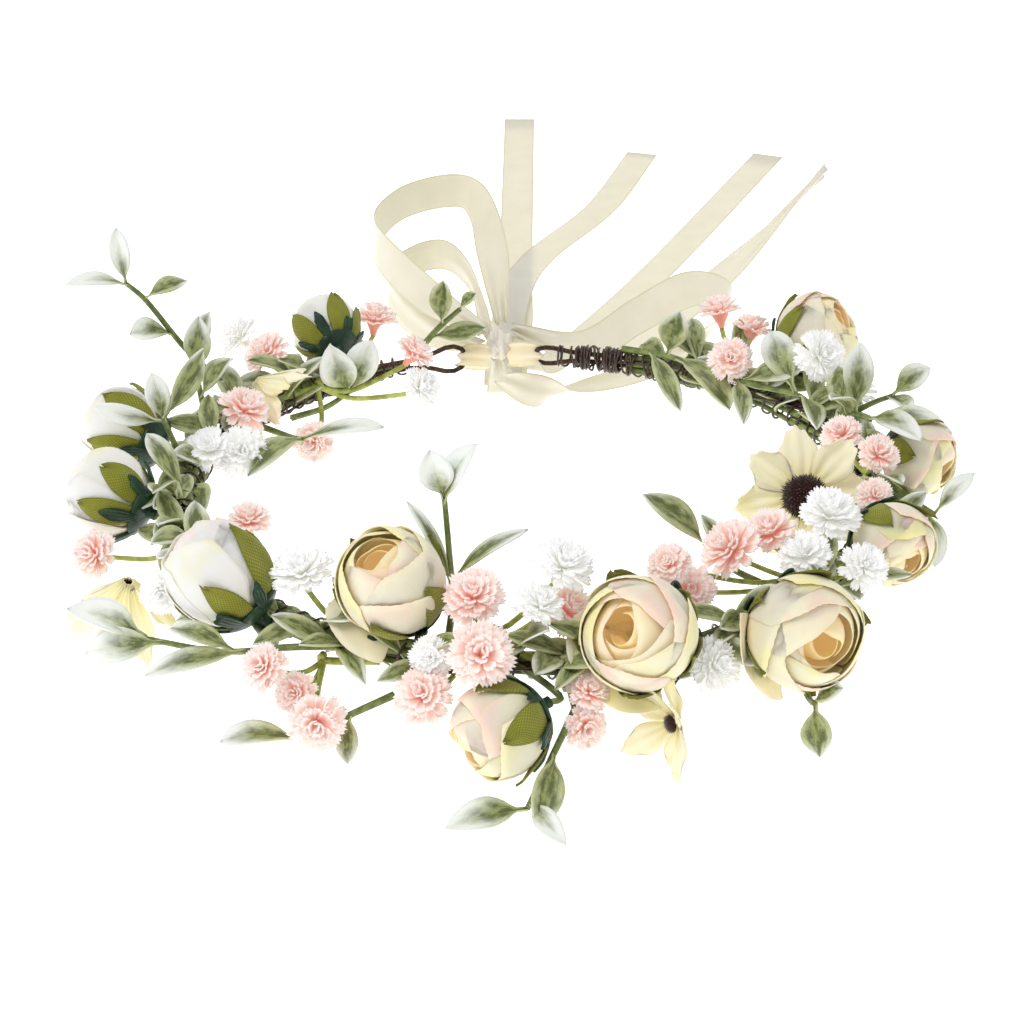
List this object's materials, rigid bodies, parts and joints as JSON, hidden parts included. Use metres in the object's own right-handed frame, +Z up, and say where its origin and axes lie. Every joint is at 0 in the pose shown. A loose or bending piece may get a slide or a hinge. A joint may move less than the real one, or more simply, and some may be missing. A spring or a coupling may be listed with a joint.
{
  "type": "flower crown",
  "caption": "Bendable wire flower crown dressed with cloth roses, cosmos, leaf sprigs and small filler sprays, tied at the back by a satin ribbon bow with long tails.",
  "frame": {"origin": "centre of the head opening, in the plane of the base wire", "axes": "+Z up out of the head opening, +Y back towards the ribbon bow and its tails, +X to the wearer's left"},
  "size_m": [0.2681, 0.5438, 0.085],
  "materials": {
    "brown_wire": "brown paper-covered and lacquered steel wire, dull",
    "rose_cloth": "stiffened cream cloth petals, matte",
    "sepal_cloth": "woven olive cloth with a cut edge",
    "cosmos_cloth": "stiffened cream cloth petals, matte",
    "flock": "dark brown flock",
    "pink_plastic": "moulded soft plastic, pale pink and white",
    "leaf_plastic": "moulded soft plastic leaves with frosted tips",
    "satin": "cream satin with a thin woven edge"
  },
  "bodies": {
    "crown": {"base_wire": "brown_wire", "binding_wire_left": "brown_wire", "binding_wire_right": "brown_wire", "rose_01_petals": "rose_cloth", "rose_01_calyx": "sepal_cloth", "rose_02_petals": "rose_cloth", "rose_02_calyx": "sepal_cloth", "rose_03_petals": "rose_cloth", "rose_03_calyx": "sepal_cloth", "rose_04_petals": "rose_cloth", "rose_04_calyx": "sepal_cloth", "rose_05_petals": "rose_cloth", "rose_05_calyx": "sepal_cloth", "rose_06_petals": "rose_cloth", "rose_06_calyx": "sepal_cloth", "rose_07_petals": "rose_cloth", "rose_07_calyx": "sepal_cloth", "rose_08_petals": "rose_cloth", "rose_08_calyx": "sepal_cloth", "rose_09_petals": "rose_cloth", "rose_09_calyx": "sepal_cloth", "rose_10_petals": "rose_cloth", "rose_10_calyx": "sepal_cloth", "rose_11_petals": "rose_cloth", "rose_11_calyx": "sepal_cloth", "cosmos_01_petals": "cosmos_cloth", "cosmos_01_centre": "flock", "cosmos_02_petals": "cosmos_cloth", "cosmos_02_centre": "flock", "cosmos_03_petals": "cosmos_cloth", "cosmos_03_centre": "flock", "cosmos_04_petals": "cosmos_cloth", "cosmos_04_centre": "flock", "spray_back_left": "pink_plastic", "spray_left": "pink_plastic", "spray_left_front": "pink_plastic", "spray_front": "pink_plastic", "spray_right_front": "pink_plastic", "spray_back_right": "pink_plastic", "sprig_back_left_tall": "leaf_plastic", "sprig_left": "leaf_plastic", "sprig_inner_left": "leaf_plastic", "sprig_back": "leaf_plastic", "sprig_front_tall": "leaf_plastic", "sprig_inner_right": "leaf_plastic", "sprig_right": "leaf_plastic", "sprig_left_front": "leaf_plastic", "sprig_front_low": "leaf_plastic", "sprig_right_front": "leaf_plastic", "sprig_gap_right": "leaf_plastic", "ribbon_eye_left": "satin", "ribbon_eye_right": "satin"},
    "bow": {"bow_knot": "satin", "bow_loop_left_outer": "satin", "bow_loop_left_inner": "satin", "bow_loop_right": "satin", "tail_01": "satin", "tail_02": "satin", "tail_03": "satin", "tail_04": "satin"}
  },
  "joints": [
    {"name": "bow_swing", "type": "hinge", "parent": "crown", "child": "bow", "pos_m": [-0.00906, 0.1036, 0.002], "axis": [1, 0, 0], "range_deg": [-80, 20]}
  ]
}
